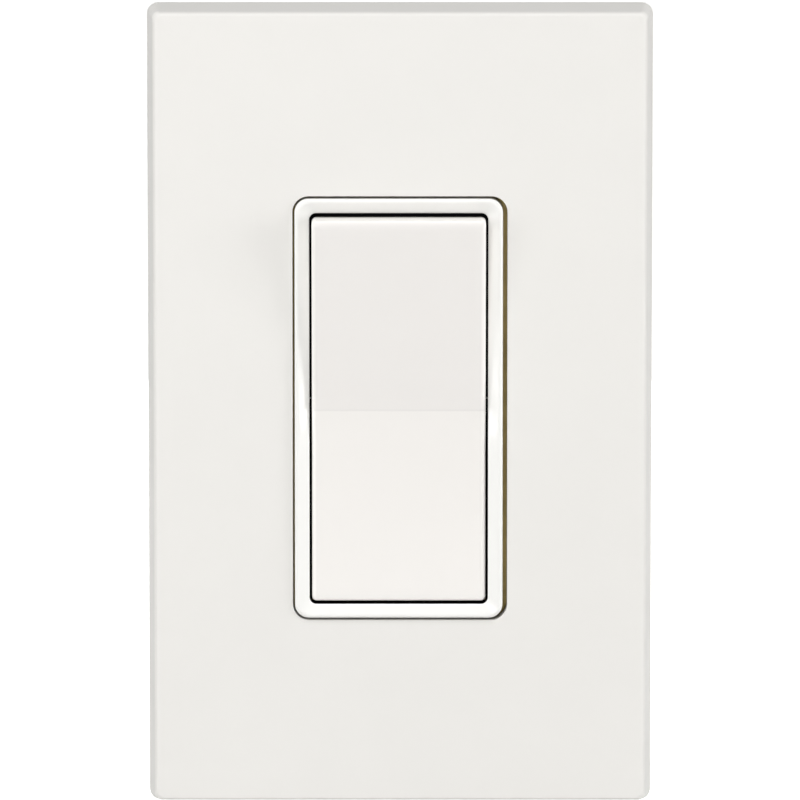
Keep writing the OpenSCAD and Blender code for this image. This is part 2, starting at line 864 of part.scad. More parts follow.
module housing() {
  color("#e9e7e2")
    difference() {
      union() {
        difference() {
          slab(housing_w, housing_h, 0, housing_d, housing_r);
          slab(inner_w, inner_h, -over, inner_d, housing_r / 2);
        }
        housing_blocks();
      }
      pair_z(rivet_z)
        rod_y(rivet_r + screw_gap, -over, housing_d + over);
      pair_z(wire_hole_z)
        translate([wire_hole_x, 0, 0])
          rod_y(wire_hole_r, block_y - over, housing_d + over);
      pair_z(terminal_z)
        block_at([housing_w / 2, terminal_y, 0], [2 * housing_t + 0.6, side_window, side_window]);
    }
}

module rivets() {
  color("#c9a24a")
    pair_z(rivet_z) {
      rod_y(rivet_r, ledge_y - join, housing_d + join);
      rod_y(rivet_head_r, ledge_y - rivet_head_t, ledge_y);
      rod_y(rivet_head_r, housing_d, housing_d + rivet_head_t);
    }
}

cover_plate();
subplate();
subplate_screws();
mounting_strap();
box_screws();
screw_retainers();
bezel_frame();
paddle();
plunger();
plunger_spring();
contact_rocker();
moving_contact();
fixed_contact();
common_terminal();
load_terminal();
terminal_screws();
clamp_plates();
push_in_springs();
ground_screw();
housing();
rivets();
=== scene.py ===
import json
import math

import bmesh
import bpy
from mathutils import Matrix, Vector


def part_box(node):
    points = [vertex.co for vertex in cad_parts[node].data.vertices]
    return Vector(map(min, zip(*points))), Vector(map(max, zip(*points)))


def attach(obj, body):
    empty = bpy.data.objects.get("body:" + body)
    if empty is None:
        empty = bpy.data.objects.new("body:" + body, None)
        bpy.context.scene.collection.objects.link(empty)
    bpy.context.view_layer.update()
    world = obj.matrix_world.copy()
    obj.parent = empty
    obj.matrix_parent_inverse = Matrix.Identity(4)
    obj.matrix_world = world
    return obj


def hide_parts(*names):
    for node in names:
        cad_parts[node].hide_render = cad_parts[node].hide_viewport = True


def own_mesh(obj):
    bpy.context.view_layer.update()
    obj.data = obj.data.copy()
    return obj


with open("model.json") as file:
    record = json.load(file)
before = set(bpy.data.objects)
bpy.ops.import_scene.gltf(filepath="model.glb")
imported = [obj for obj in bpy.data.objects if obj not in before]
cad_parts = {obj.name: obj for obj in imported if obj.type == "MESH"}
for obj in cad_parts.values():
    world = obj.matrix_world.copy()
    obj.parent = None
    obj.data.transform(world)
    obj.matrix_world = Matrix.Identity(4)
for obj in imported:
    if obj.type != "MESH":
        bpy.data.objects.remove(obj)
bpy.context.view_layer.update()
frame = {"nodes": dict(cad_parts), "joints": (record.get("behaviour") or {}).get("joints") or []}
MM = 0.001
nodes = frame["nodes"]
joints = {j["name"]: j for j in frame["joints"]}

# Half of the paddle's swing, its pivot, and the front of the crease at the middle of the swing
TILT = math.radians(3.2)
PIVOT = Vector(joints["paddle_tilt"]["pos_m"])
CREASE = -7.0 * MM
# Height of the crease at rest, and the arc about the pivot that the paddle's ends follow
CREASE_Z = PIVOT.z + (CREASE - PIVOT.y) * math.sin(TILT)
END_R = 30.74 * MM


def size_of(node):
    """Low corner, high corner and size of a CAD node's box."""
    low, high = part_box(node)
    return low, high, high - low


# ---------------------------------------------------------------- materials


def new_material(name):
    material = bpy.data.materials.new(name)
    material.use_nodes = True
    tree = material.node_tree
    return material, tree, tree.nodes["Principled BSDF"]


def noise(tree, scale, detail=3.0, roughness=0.55, stretch=(1, 1, 1)):
    """Noise over the object's own space, so it keeps its scale in metres."""
    place = tree.nodes.new("ShaderNodeTexCoord")
    mapping = tree.nodes.new("ShaderNodeMapping")
    mapping.inputs["Scale"].default_value = stretch
    texture = tree.nodes.new("ShaderNodeTexNoise")
    texture.inputs["Scale"].default_value = scale
    texture.inputs["Detail"].default_value = detail
    texture.inputs["Roughness"].default_value = roughness
    tree.links.new(place.outputs["Object"], mapping.inputs["Vector"])
    tree.links.new(mapping.outputs["Vector"], texture.inputs["Vector"])
    return texture


def ramp(tree, source, low, high, at=(0.3, 0.7)):
    """A soft step from one colour to another."""
    node = tree.nodes.new("ShaderNodeValToRGB")
    node.color_ramp.elements[0].position = at[0]
    node.color_ramp.elements[1].position = at[1]
    node.color_ramp.elements[0].color = (*low, 1)
    node.color_ramp.elements[1].color = (*high, 1)
    tree.links.new(source, node.inputs["Fac"])
    return node


def spread(tree, source, low, high):
    """Maps a 0 to 1 value to low to high."""
    node = tree.nodes.new("ShaderNodeMapRange")
    node.inputs["To Min"].default_value = low
    node.inputs["To Max"].default_value = high
    tree.links.new(source, node.inputs["Value"])
    return node


def bump(tree, shader, source, strength, distance):
    node = tree.nodes.new("ShaderNodeBump")
    node.inputs["Strength"].default_value = strength
    node.inputs["Distance"].default_value = distance
    tree.links.new(source, node.inputs["Height"])
    tree.links.new(node.outputs["Normal"], shader.inputs["Normal"])


def shade(colour, factor):
    return tuple(min(1.0, c * factor) for c in colour)


def plastic(name, colour, roughness=0.3, specular=0.5, grain=9000, grain_depth=2e-6):
    """Moulded plastic: a trace of mottling in the colour, a fine orange peel and uneven gloss."""
    material, tree, shader = new_material(name)
    cloud = noise(tree, 60, 2.0)
    tone = ramp(tree, cloud.outputs["Fac"], shade(colour, 0.992), shade(colour, 1.004))
    tree.links.new(tone.outputs["Color"], shader.inputs["Base Color"])
    smear = noise(tree, 180, 4.0, 0.6, (1, 1, 0.4))
    gloss = spread(tree, smear.outputs["Fac"], roughness * 0.85, roughness * 1.2)
    tree.links.new(gloss.outputs["Result"], shader.inputs["Roughness"])
    peel = noise(tree, grain, 2.0)
    bump(tree, shader, peel.outputs["Fac"], 0.35, grain_depth)
    shader.inputs["Specular IOR Level"].default_value = specular
    return material


def metal(name, colour, roughness=0.3, streak=(1, 1, 30), scale=900, worn=0.8, depth=4e-6):
    """Plated or bare metal with fine streaks and slightly duller patches."""
    material, tree, shader = new_material(name)
    shader.inputs["Metallic"].default_value = 1.0
    patch = noise(tree, 150, 4.0, 0.65)
    tone = ramp(tree, patch.outputs["Fac"], shade(colour, worn), colour)
    tree.links.new(tone.outputs["Color"], shader.inputs["Base Color"])
    lines = noise(tree, scale, 5.0, 0.6, streak)
    gloss = spread(tree, lines.outputs["Fac"], roughness * 0.7, roughness * 1.4)
    tree.links.new(gloss.outputs["Result"], shader.inputs["Roughness"])
    bump(tree, shader, lines.outputs["Fac"], 0.4, depth)
    return material


def fibre(name, colour):
    """Pressed fibre board with a speckled, matt surface."""
    material, tree, shader = new_material(name)
    speck = noise(tree, 2500, 6.0, 0.7, (1, 1, 3))
    tone = ramp(tree, speck.outputs["Fac"], shade(colour, 0.6), shade(colour, 1.3))
    tree.links.new(tone.outputs["Color"], shader.inputs["Base Color"])
    shader.inputs["Roughness"].default_value = 0.85
    bump(tree, shader, speck.outputs["Fac"], 0.6, 3e-5)
    return material


def facing_tone(material, steep, flat, factor):
    """Scales the colour by factor where the surface turns away from the front, from flat to steep; it paints
    shade where factor is below 1 and a highlight where it is above.
    """
    tree = material.node_tree
    shader = tree.nodes["Principled BSDF"]
    tone = shader.inputs["Base Color"].links[0].from_socket
    where = tree.nodes.new("ShaderNodeTexCoord")
    split = tree.nodes.new("ShaderNodeSeparateXYZ")
    tree.links.new(where.outputs["Normal"], split.inputs["Vector"])
    facing = tree.nodes.new("ShaderNodeMath")
    facing.operation = "ABSOLUTE"
    tree.links.new(split.outputs["Y"], facing.inputs[0])
    fade = spread(tree, facing.outputs[0], factor, 1.0)
    fade.inputs["From Min"].default_value = steep
    fade.inputs["From Max"].default_value = flat
    mix = tree.nodes.new("ShaderNodeVectorMath")
    mix.operation = "SCALE"
    tree.links.new(tone, mix.inputs[0])
    tree.links.new(fade.outputs["Result"], mix.inputs["Scale"])
    tree.links.new(mix.outputs["Vector"], shader.inputs["Base Color"])


def plate_plastic(name, colour):
    """Moulded plate: its face is even, and painted shade makes its drawn side walls greyer."""
    material = plastic(name, colour, 0.45, 0.3)
    # Painted shade: faces turned sideways take 0.86 of the colour.
    facing_tone(material, 0.16, 0.3, 0.86)
    return material


def paddle_plastic(name, upper, lower):
    """Moulded rocker with painted light: its pressed half is painted lighter and warmer, a painted shade line
    runs along its crease, and its edges have a painted highlight.
    """
    material = plastic(name, upper, 0.22)
    tree = material.node_tree
    shader = tree.nodes["Principled BSDF"]
    where = tree.nodes.new("ShaderNodeTexCoord")
    split = tree.nodes.new("ShaderNodeSeparateXYZ")
    tree.links.new(where.outputs["Object"], split.inputs["Vector"])
    height = tree.nodes.new("ShaderNodeMapRange")
    low, high = CREASE_Z - 32 * MM, CREASE_Z + 4 * MM
    height.inputs["From Min"].default_value = low
    height.inputs["From Max"].default_value = high
    tree.links.new(split.outputs["Z"], height.inputs["Value"])
    # Painted light: the lower half is lighter and warmer than the upper, lighter still towards its bottom
    # end.
    lit_halves = tree.nodes.new("ShaderNodeValToRGB")
    bands = lit_halves.color_ramp.elements
    bands[0].position = 0.0
    bands[0].color = (*shade(lower, 1.05), 1)
    bands[1].position = 1.0
    bands[1].color = (*upper, 1)
    # Painted shade: a thin darker line along the crease.
    crease_shade = shade(upper, 0.955)
    for offset, tone in ((-0.2, lower), (-0.1, crease_shade), (0.1, crease_shade), (0.2, upper)):
        at = (CREASE_Z + offset * MM - low) / (high - low)
        bands.new(at).color = (*tone, 1)
    tree.links.new(height.outputs["Result"], lit_halves.inputs["Fac"])
    tree.links.new(lit_halves.outputs["Color"], shader.inputs["Base Color"])
    # Painted highlight: the rounded edges, where the surface turns from the front, are up to a tenth lighter.
    facing_tone(material, 0.9, 0.985, 1.1)
    return material


MATERIALS = {
    "plate_white": plate_plastic("plate_white", (0.85, 0.835, 0.805)),
    "frame_white": plastic("frame_white", (0.93, 0.925, 0.90), 0.2),
    "paddle_white": paddle_plastic("paddle_white", (0.85, 0.825, 0.80), (0.87, 0.845, 0.815)),
    "inner_white": plastic("inner_white", (0.80, 0.78, 0.72), 0.5, 0.4, 4000, 6e-6),
    "housing_white": plastic("housing_white", (0.78, 0.765, 0.72), 0.45, 0.4, 3000, 8e-6),
    "black_nylon": plastic("black_nylon", (0.03, 0.03, 0.032), 0.45, 0.4, 4000, 5e-6),
    "zinc_steel": metal("zinc_steel", (0.66, 0.66, 0.65), 0.32),
    "yellow_zinc": metal("yellow_zinc", (0.56, 0.43, 0.18), 0.38, (1, 1, 12), 700, 0.75),
    "spring_steel": metal("spring_steel", (0.55, 0.56, 0.58), 0.25),
    "brass": metal("brass", (0.78, 0.56, 0.22), 0.28, (12, 1, 1), 800, 0.72),
    "silver": metal("silver", (0.85, 0.84, 0.81), 0.3),
    "green_screw": metal("green_screw", (0.05, 0.33, 0.12), 0.3),
    "fibre": fibre("fibre", (0.28, 0.16, 0.09)),
    # Painted shade: near-black for the white walls and ledges deep in the window and for the pin ends in the
    # gaps, where only shade falls.
    "painted_gap_shade": plastic("painted_gap_shade", (0.012, 0.011, 0.014), 0.8, 0.1, 4000, 6e-6),
}


def dress(node, slot):
    """Gives a CAD node its material."""
    piece = nodes[node]
    piece.data.materials.clear()
    piece.data.materials.append(MATERIALS[slot])
    return piece


def soften(piece, width):
    """Bevels the sharp edges of a CAD node."""
    weld = piece.modifiers.new("weld", "WELD")
    weld.merge_threshold = 2e-6
    clean = piece.modifiers.new("flatten", "DECIMATE")
    clean.decimate_type = "DISSOLVE"
    clean.angle_limit = math.radians(1.0)
    edge = piece.modifiers.new("edges", "BEVEL")
    edge.width = width
    edge.segments = 2
    edge.limit_method = "ANGLE"
    edge.angle_limit = math.radians(28)
    edge.harden_normals = False
    edge.use_clamp_overlap = True
    smooth_by_angle(piece)


def smooth_by_angle(piece):
    for face in piece.data.polygons:
        face.use_smooth = True
    normals = piece.modifiers.new("normals", "WEIGHTED_NORMAL")
    normals.keep_sharp = True
    normals.weight = 80


# ---------------------------------------------------------------- lofted shells


def spaced(values):
    return sorted(set(round(v, 6) for v in values))


def ring(w, h, r, sides, ends, k=8, cx=0.0):
    """Points (x, z) round a rounded rectangle, from the middle of the bottom up the right side.

    sides and ends are the stations of the straight runs: sides from -1 to 1, ends from 0 to 1.
    The left half mirrors the right one.
    """
    r = max(min(r, w / 2 - 1e-5, h / 2 - 1e-5), 2e-5)
    a, b = w / 2 - r, h / 2 - r
    run = [(a * e, -h / 2) for e in ends if e >= 0]
    run += [(a + r * math.sin(t), -b - r * math.cos(t)) for t in arc(k)]
    run += [(w / 2, b * s) for s in sides]
    run += [(a + r * math.cos(t), b + r * math.sin(t)) for t in arc(k)]
    run += [(a * e, h / 2) for e in reversed(ends) if e >= 0]
    right = [run[0]]
    for p in run[1:]:
        if (p[0] - right[-1][0]) ** 2 + (p[1] - right[-1][1]) ** 2 > 1e-16:
            right.append(p)
    left = [(-x, z) for x, z in reversed(right[1:-1])]
    return [(x + cx, z) for x, z in right + left]


def arc(k):
    return [math.pi / 2 * i / k for i in range(1, k)]


def loft(bm, rings, closed=False):
    """Quads between rings of equal length; each ring is a list of (x, y, z)."""
    rows = [[bm.verts.new(p) for p in points] for points in rings]
    pairs = list(zip(rows, rows[1:]))
    if closed:
        pairs.append((rows[-1], rows[0]))
    for a, b in pairs:
        n = len(a)
        for i in range(n):
            j = (i + 1) % n
            bm.faces.new([a[i], a[j], b[j], b[i]])
    return rows


def tube(bm, rings):
    """A loft with both ends closed."""
    rows = loft(bm, rings)
    bm.faces.new(rows[0])
    bm.faces.new(rows[-1])


def circle(radius, n, a=0.0, b=0.0):
    """n points round (a, b)."""
    turns = [2 * math.pi * i / n for i in range(n)]
    return [(a + radius * math.cos(t), b + radius * math.sin(t)) for t in turns]


def zip_cap(bm, row):
    """Closes a ring that is mirrored left to right with strips that run across it."""
    n = len(row)
    top = n // 2
    low_run, high_run = 0, 0
    while abs(row[low_run + 1].co.z - row[0].co.z) < 1e-7:
        low_run += 1
    while abs(row[top - high_run - 1].co.z - row[top].co.z) < 1e-7:
        high_run += 1
    first, last = low_run + 1, top - high_run - 1
    bm.faces.new([row[i % n] for i in range(-first, first + 1)])
    bm.faces.new([row[i] for i in range(last, n - last + 1)])
    for i in range(first, last):
        bm.faces.new([row[i], row[i + 1], row[n - i - 1], row[n - i]])


def finish_mesh(name, bm, body, slot, replaced=(), place=None):
    """Makes a piece of the mesh, with the material of its slot, and lets it ride on its body."""
    bmesh.ops.remove_doubles(bm, verts=bm.verts, dist=1e-7)
    bmesh.ops.recalc_face_normals(bm, faces=bm.faces)
    mesh = bpy.data.meshes.new(name)
    bm.to_mesh(mesh)
    bm.free()
    if place is not None:
        mesh.transform(place)
    mesh.materials.append(MATERIALS[slot])
    piece = bpy.data.objects.new(name, mesh)
    bpy.context.scene.collection.objects.link(piece)
    smooth_by_angle(piece)
    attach(piece, body)
    if replaced:
        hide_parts(*replaced)
    return piece


def round_over(r, n=6):
    """(inset, depth) pairs from the flat front to the side wall."""
    return [
        (r * (1 - math.sin(math.pi / 2 * i / n)), r * (1 - math.cos(math.pi / 2 * i / n)))
        for i in range(n + 1)
    ]


# ---------------------------------------------------------------- cover plate

# How far the side walls lean in, corner radius, wall thickness, front edge and lip of the opening
COVER_LEAN = 1.15 * MM
COVER_R = 1.8 * MM
COVER_T = 1.8 * MM
COVER_EDGE = 0.55 * MM
OPEN_R = 2.5 * MM
OPEN_LIP = 0.1 * MM


def cover_opening():
    """Size of the opening, read from the frame and its standard gap."""
    _, _, size = size_of("bezel_frame")
    return size.x + 1.0 * MM, size.z + 0.7 * MM


def build_cover():
    low, high, size = size_of("cover_plate")
    cx = (low.x + high.x) / 2
    w, h, d = size.x, size.z, size.y
    open_w, open_h = cover_opening()
    sides = [i / 12 for i in range(-12, 13)]
    ends = [i / 8 for i in range(0, 9)]
    shape = []

    def add(width, height, r, y):
        shape.append([(x, y, z) for x, z in ring(width, height, r, sides, ends, 8, cx)])

    add(w - 0.3 * MM, h - 0.3 * MM, COVER_R, 0)
    add(w - 0.02 * MM, h - 0.02 * MM, COVER_R, -0.12 * MM)
    for step in range(1, 9):
        t = step / 8
        y = -(d - COVER_EDGE) * t
        lean = COVER_LEAN * (d - COVER_EDGE) / d * t
        add(w - 2 * lean, h - 2 * lean, COVER_R - 0.7 * MM * t, y)
    for inset, depth in reversed(round_over(COVER_EDGE)[:-1]):
        lean = COVER_LEAN + inset * 0.9
        add(w - 2 * lean, h - 2 * lean, COVER_R - 0.7 * MM, -d + depth)
    for inset, depth in round_over(OPEN_LIP, 4):
        add(open_w + 2 * inset, open_h + 2 * inset, OPEN_R + inset, -d + depth)
    add(open_w, open_h, OPEN_R, -3.7 * MM)
    add(open_w + 2.2 * MM, open_h + 2.2 * MM, OPEN_R + 1.1 * MM, -3.6 * MM)
    add(open_w + 2.4 * MM, open_h + 2.4 * MM, OPEN_R + 1.2 * MM, -(d - COVER_T))
    inner = COVER_LEAN * (d - COVER_T) / d
    in_w, in_h = w - 2 * COVER_T, h - 2 * COVER_T
    add(in_w - 2 * inner, in_h - 2 * inner, COVER_R / 2, -(d - COVER_T))
    add(in_w, in_h, COVER_R / 2, -0.1 * MM)
    add(in_w + 0.2 * MM, in_h + 0.2 * MM, COVER_R / 2, 0)
    bm = bmesh.new()
    loft(bm, shape, closed=True)
    add_cover_tabs(bm, cx, in_w, in_h, inner, d)
    return finish_mesh("cover_shell", bm, "wall_cover", "plate_white", ["cover_plate"])


def add_cover_tabs(bm, cx, in_w, in_h, inner, d):
    """Snap tabs and round stops inside the shell."""
    thick = inner + 1.5 * MM
    y0, y1 = -(d - COVER_T) - 0.1 * MM, -0.5 * MM
    for sx in (-1, 1):
        for sz in (-1, 1):
            side = (cx + sx * (in_w / 2 + 0.3 * MM - thick / 2), sz * 30 * MM)
            rounded_box(bm, (side[0], (y0 + y1) / 2, side[1]), (thick, y1 - y0, 9 * MM), 0.3 * MM)
            end = (cx + sx * 20 * MM, sz * (in_h / 2 + 0.3 * MM - thick / 2))
            rounded_box(bm, (end[0], (y0 + y1) / 2, end[1]), (9 * MM, y1 - y0, thick), 0.3 * MM)
            post(bm, (cx + sx * 27 * MM, sz * 50 * MM), 2 * MM, y0, -3.25 * MM)


def rounded_box(bm, centre, size, r):
    """A block with small rounded edges, as its own closed part of the mesh."""
    made = bmesh.ops.create_cube(bm, size=1.0)
    matrix = Matrix.Translation(centre) @ Matrix.Diagonal((*size, 1.0))
    bmesh.ops.transform(bm, matrix=matrix, verts=made["verts"])
    edges = list({e for v in made["verts"] for e in v.link_edges})
    bmesh.ops.bevel(bm, geom=edges, offset=r, segments=2, affect="EDGES", profile=0.5)


def post(bm, at, r, y0, y1, n=32):
    """A round post along Y with a small edge round at its free end y1."""
    rows = []
    step = 0.2 * MM if y1 > y0 else -0.2 * MM
    for radius, y in ((r, y0), (r, y1 - step), (r * 0.94, y1 - 0.3 * step), (r * 0.82, y1)):
        rows.append([(a, y, b) for a, b in circle(radius, n, *at)])
    tube(bm, rows)


# ---------------------------------------------------------------- bezel frame

# (inset, y) pairs in mm of the frame's section, over the rim and down the undercut in the window
RIM = [
    (0.0, -6.95), (0.02, -7.12), (0.08, -7.29), (0.18, -7.42), (0.30, -7.485), (0.42, -7.5),
    (0.58, -7.5), (0.66, -7.485), (0.80, -7.43), (1.00, -7.345), (1.30, -7.215), (1.60, -7.09),
    (1.90, -6.965), (2.10, -6.88), (2.22, -6.81), (2.31, -6.71), (2.35, -6.58), (2.35, -6.40),
]
UNDERCUT = [(2.20, -6.30), (2.08, -6.0), (2.05, -5.6), (2.05, -4.0)]
# Width of the rails, depth of their dips, and the ledges at the bottom of the window
RAIL_W = 2.35 * MM
DIP = 0.62 * MM
LEDGE_Y = -1.95 * MM
LEDGE_D = 1.5 * MM
LEDGE_FROM = 20 * MM
# Stations along a side rail, from its middle to its end, closer together where it dips
RAIL_MARKS = [
    0, 0.01, 0.025, 0.045, 0.07, 0.1, 0.13, 0.16, 0.19, 0.21, 0.22,
    0.25, 0.28, 0.31, 0.34, 0.37, 0.4, 0.44, 0.5, 0.7, 0.9, 1,
]


def rail_dip(z):
    """How deep the inner edge of the side rails dips beside the crease: a soft V, longer upwards."""
    if z >= 0:
        return max(0.0, 1 - z / (12.0 * MM)) ** 1.6
    return max(0.0, 1 + z / (6.5 * MM)) ** 1.3


def build_frame():
    _, high, size = size_of("bezel_frame")
    w, h = size.x, size.z
    back = high.y
    sides = spaced([-m for m in RAIL_MARKS] + RAIL_MARKS)
    ends = [i / 8 for i in range(0, 9)]
    corner = 2.2 * MM
    shape = []

    def lower(inset, z):
        """The rail along the bottom is a little slimmer than the others."""
        return 1 + 0.0048 * min(1.0, inset / (2 * MM)) if z < 0 else 1.0

    def add(inset, y, dip=0.0):
        inset = inset * MM
        points = ring(w - 2 * inset, h - 2 * inset, corner - inset * 0.49, sides, ends, 10)
        row = []
        for x, z in points:
            on_side = abs(x) > w / 2 - inset - 0.05 * MM
            row.append((x, y + (DIP * dip * rail_dip(z) if on_side else 0.0), z * lower(inset, z)))
        shape.append(row)

    add(0.0, back)
    add(0.0, -4.0 * MM)
    for inset, y in RIM:
        t = min(1.0, max(0.0, (inset - 0.6) / 1.6))
        add(inset, y * MM, t * t * (3 - 2 * t))
    for inset, y in UNDERCUT[:-1]:
        add(inset, y * MM, 1.0)
    add(UNDERCUT[-1][0], UNDERCUT[-1][1] * MM)
    add(2.05, back)
    bm = bmesh.new()
    loft(bm, shape, closed=True)
    ledge_z = (LEDGE_FROM + h / 2 - RAIL_W) / 2
    ledge_h = h / 2 - RAIL_W - LEDGE_FROM
    strip = (0.78 * MM, LEDGE_D, 18.9 * MM)
    for sz in (-1, 1):
        rounded_box(bm, (0, LEDGE_Y, sz * ledge_z), (w - 4.6 * MM, LEDGE_D, ledge_h), 0.15 * MM)
    for sx in (-1, 1):
        for sz in (-1, 1):
            rounded_box(bm, (sx * 14.11 * MM, LEDGE_Y, sz * 10.75 * MM), strip, 0.1 * MM)
    piece = finish_mesh("frame_shell", bm, "switch_body", "frame_white", ["bezel_frame"])
    shade_well(piece, w / 2 - 1.9 * MM, h / 2 - 1.9 * MM)
    return piece


def shade_well(piece, half_w, half_h):
    """Paints shade on the walls and ledges deep in the window with a near-black material in place of the
    frame's white.
    """
    piece.data.materials.append(MATERIALS["painted_gap_shade"])
    for face in piece.data.polygons:
        at = face.center
        # Painted shade mask: faces deep in the window, or turned sideways there.
        deep = at.y > -4.5 * MM or face.normal.y > -0.45
        if abs(at.x) < half_w and abs(at.z) < half_h and deep:
            face.material_index = 1


# ---------------------------------------------------------------- paddle

# Width of the paddle, depth of its skirt and thickness of the skirt's wall
PADDLE_W = 27.3 * MM
SKIRT_D = 3.4 * MM
SKIRT_T = 1.4 * MM
# How far the pins reach past the paddle's sides
PIN_OUT = 1.5 * MM
# Stations along a side of the paddle, from the crease to its end
PADDLE_MARKS = [0, 0.0008, 0.002, 0.004, 0.01, 0.03, 0.1, 0.2, 0.3, 0.4, 0.5, 0.6, 0.7, 0.8, 0.9, 1]


def front_of(z):
    """The two planes of the paddle at the middle of its swing, with a small round at the crease."""
    soft = 0.05 * MM
    return CREASE - (math.sqrt(z * z + soft * soft) - soft) * math.tan(TILT)


def end_at(depth):
    """Half height of the paddle where its front lies depth deeper: its ends follow an arc about the pivot."""
    y = front_of(30 * MM) + depth
    return min(30.5 * MM, math.sqrt(END_R ** 2 - (y - PIVOT.y) ** 2))


def rolled_edge(r, end=55, n=12):
    """(inset, depth) pairs of an edge that rolls down to end degrees and then drops sharply."""
    turn = [math.radians(end * i / n) for i in range(n + 1)]
    return [(r * (math.sin(turn[-1]) - math.sin(t)), r * (1 - math.cos(t))) for t in turn]


def build_paddle():
    w = PADDLE_W
    sides = spaced([-m for m in PADDLE_MARKS] + PADDLE_MARKS)
    ends = [i / 6 for i in range(0, 7)]
    shape = []

    def add(inset, depth, top=1.0, bottom=1.0):
        half = end_at(depth)
        high = half - inset * top
        low = half - inset * bottom
        row = []
        for x, z in ring(w - 2 * inset, 2 * high, 0.75 * MM - inset * 0.3, sides, ends, 8):
            z = z if z > 0 else z * low / high
            row.append((x, front_of(z) + depth, z))
        shape.append(row)

    for inset, depth in rolled_edge(1.2 * MM):
        add(inset, depth, 1.45, 0.45)
    add(0, 2.3 * MM)
    add(0, SKIRT_D)
    add(SKIRT_T, SKIRT_D)
    add(SKIRT_T, 1.6 * MM)
    bm = bmesh.new()
    rows = loft(bm, shape)
    zip_cap(bm, rows[0])
    zip_cap(bm, rows[-1])
    lathe_x(bm, 1.9 * MM, -w / 2 + 0.5 * MM, w / 2 - 0.5 * MM, PIVOT)
    for start, stop in ((-w / 2 - PIN_OUT, -w / 2 + 1 * MM), (w / 2 - 1 * MM, w / 2 + PIN_OUT)):
        lathe_x(bm, 1.1 * MM, start, stop, PIVOT)
    post(bm, (0, 0), 3.4 * MM, -5.6 * MM, 9.5 * MM, 40)
    turn = Matrix.Translation(PIVOT) @ Matrix.Rotation(TILT, 4, "X") @ Matrix.Translation(-PIVOT)
    piece = finish_mesh("paddle_shell", bm, "rocker_paddle", "paddle_white", ["paddle"], turn)
    shade_pins(piece, w / 2 + 0.05 * MM)
    return piece


def shade_pins(piece, half_w):
    """Paints shade on the parts of the pins that show in the gaps, with a near-black material in place of the
    paddle's white.
    """
    piece.data.materials.append(MATERIALS["painted_gap_shade"])
    for face in piece.data.polygons:
        if abs(face.center.x) > half_w:
            face.material_index = 1


def lathe_x(bm, r, x0, x1, centre, n=32):
    """A round pin along X with a small edge round at both ends."""
    rows = []
    for radius, x in ((r * 0.85, x0), (r, x0 + 0.15 * MM), (r, x1 - 0.15 * MM), (r * 0.85, x1)):
        rows.append([(x, a, b) for a, b in circle(radius, n, centre.y, centre.z)])
    tube(bm, rows)


# ---------------------------------------------------------------- the rest of the nodes

# Slot of each CAD node that shows as it is, and the width in mm of its softened edges
DRESS = {
    "subplate": ("inner_white", 0.12),
    "subplate_screws": ("zinc_steel", 0.08),
    "mounting_strap": ("yellow_zinc", 0.12),
    "box_screws": ("zinc_steel", 0.15),
    "screw_retainers": ("fibre", 0.05),
    "plunger": ("black_nylon", 0.08),
    "contact_rocker": ("brass", 0.08),
    "moving_contact": ("silver", 0.1),
    "fixed_contact": ("silver", 0.1),
    "common_terminal": ("brass", 0.08),
    "load_terminal": ("brass", 0.08),
    "terminal_screws": ("brass", 0.12),
    "clamp_plates": ("zinc_steel", 0.08),
    "push_in_springs": ("spring_steel", 0.04),
    "ground_screw": ("green_screw", 0.12),
    "housing": ("housing_white", 0.25),
    "rivets": ("brass", 0.1),
}


def dress_all():
    for node, (slot, edge) in DRESS.items():
        soften(dress(node, slot), edge * MM)


# ---------------------------------------------------------------- screw threads


THREAD_PITCH = 0.8 * MM
THREAD_H = 0.17 * MM
THREAD_STEPS = 24


def thread(name, start, along, length, core, slot):
    """A helical ridge with a closed triangular section that runs from start along a direction."""
    along = Vector(along)
    side = along.orthogonal().normalized()
    other = along.cross(side)
    start = Vector(start)
    run_out = 0.6 * THREAD_STEPS
    total = int((length / THREAD_PITCH - 1) * THREAD_STEPS)
    bm = bmesh.new()
    rows = []
    for i in range(total + 1):
        turn = 2 * math.pi * i / THREAD_STEPS
        out = side * math.cos(turn) + other * math.sin(turn)
        fade = min(1.0, i / run_out, (total - i) / run_out)
        top = core + THREAD_H * fade
        at = start + along * (THREAD_PITCH * (0.5 + i / THREAD_STEPS))
        half = along * (THREAD_PITCH * 0.42)
        flat = along * (THREAD_PITCH * 0.07)
        inner = out * (core - 0.06 * MM)
        rows.append([at - half + inner, at - flat + out * top, at + flat + out * top, at + half + inner])
    tube(bm, rows)
    return finish_mesh(name, bm, "switch_body", slot)


def build_threads():
    """Rolled threads on the box screws, the plate screws and the ground screw."""
    low, high, _ = size_of("box_screws")
    head_r = 3.5 * MM
    shank_r = 1.75 * MM
    reach = high.y - 0.4 * MM
    begin = 2.6 * MM
    for name, z in (("box_thread_upper", high.z - head_r), ("box_thread_lower", low.z + head_r)):
        at = ((low.x + high.x) / 2, begin, z)
        thread(name, at, (0, 1, 0), reach - begin, shank_r, "zinc_steel")
    low, high, _ = size_of("subplate_screws")
    head_r = 3.1 * MM
    shank_r = 1.7 * MM
    for name, z in (("plate_thread_upper", high.z - head_r), ("plate_thread_lower", low.z + head_r)):
        at = ((low.x + high.x) / 2, 0.3 * MM, z)
        thread(name, at, (0, 1, 0), high.y - 0.6 * MM, shank_r, "zinc_steel")
    low, high, _ = size_of("ground_screw")
    middle = (high.x - 3.0 * MM, (low.y + high.y) / 2, (low.z + high.z) / 2)
    thread("ground_thread", middle, (1, 0, 0), 2.9 * MM, 1.7 * MM, "green_screw")


# ---------------------------------------------------------------- spring


